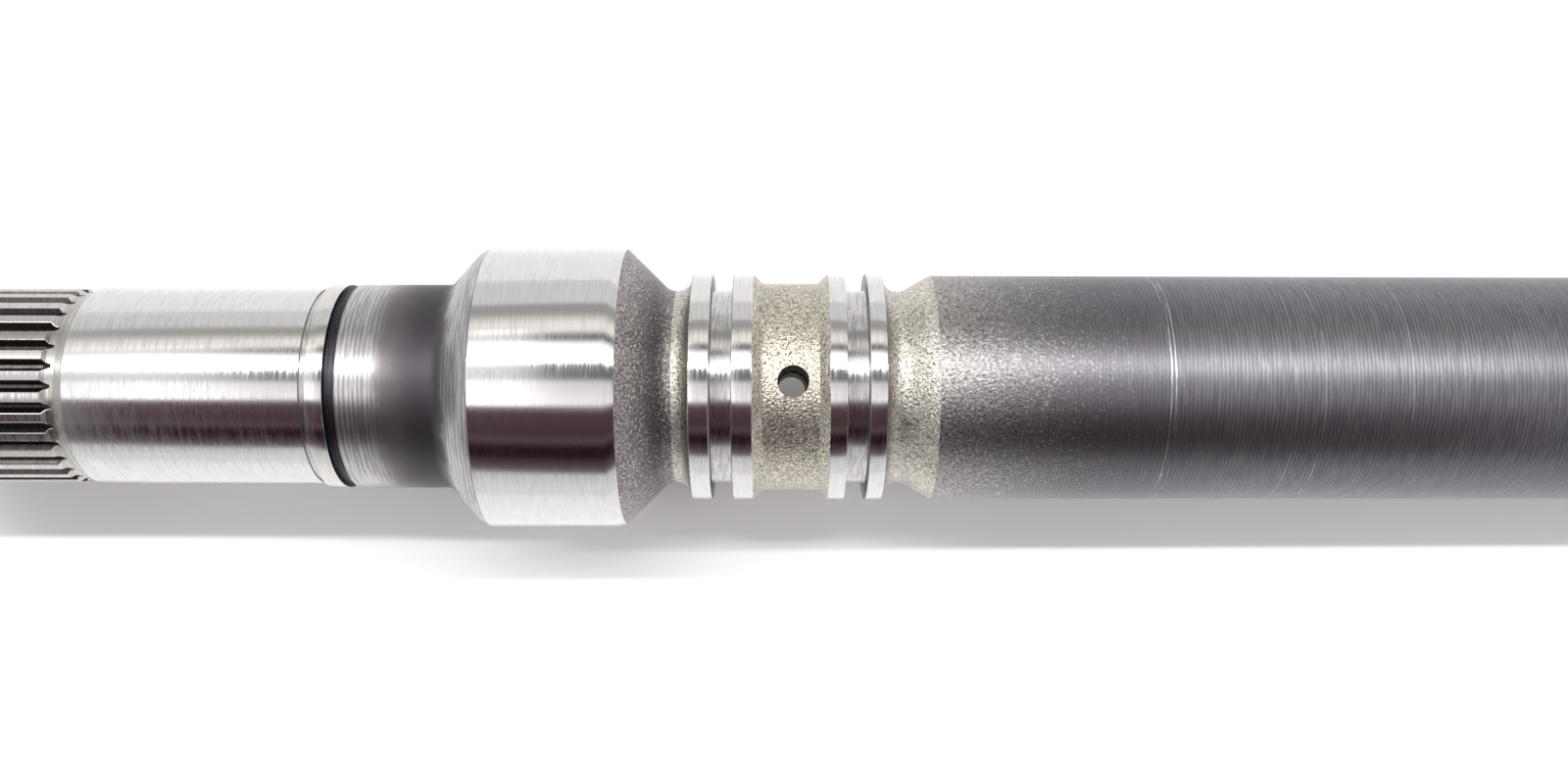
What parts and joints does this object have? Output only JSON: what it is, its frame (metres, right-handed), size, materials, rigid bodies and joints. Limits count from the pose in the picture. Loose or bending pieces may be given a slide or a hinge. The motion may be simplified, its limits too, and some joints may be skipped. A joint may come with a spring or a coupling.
{
  "type": "splined shaft",
  "caption": "Turned and ground steel transmission shaft with a splined end, bearing journal, ground collar and seal-ring lands around a drilled oil groove.",
  "frame": {"origin": "centre of the flat barrel end, on which the shaft stands", "axes": "+Z along the shaft's axis towards the splined end; the oil cross hole runs along Y"},
  "size_m": [0.0358, 0.0358, 0.32],
  "materials": {
    "machined_steel": "ground bright on the journal, collar and lands; turned and heat tinted beside the collar; grainy and dull on the necks and barrel"
  },
  "bodies": {
    "root": {"splined_shaft": "machined_steel"}
  },
  "joints": []
}
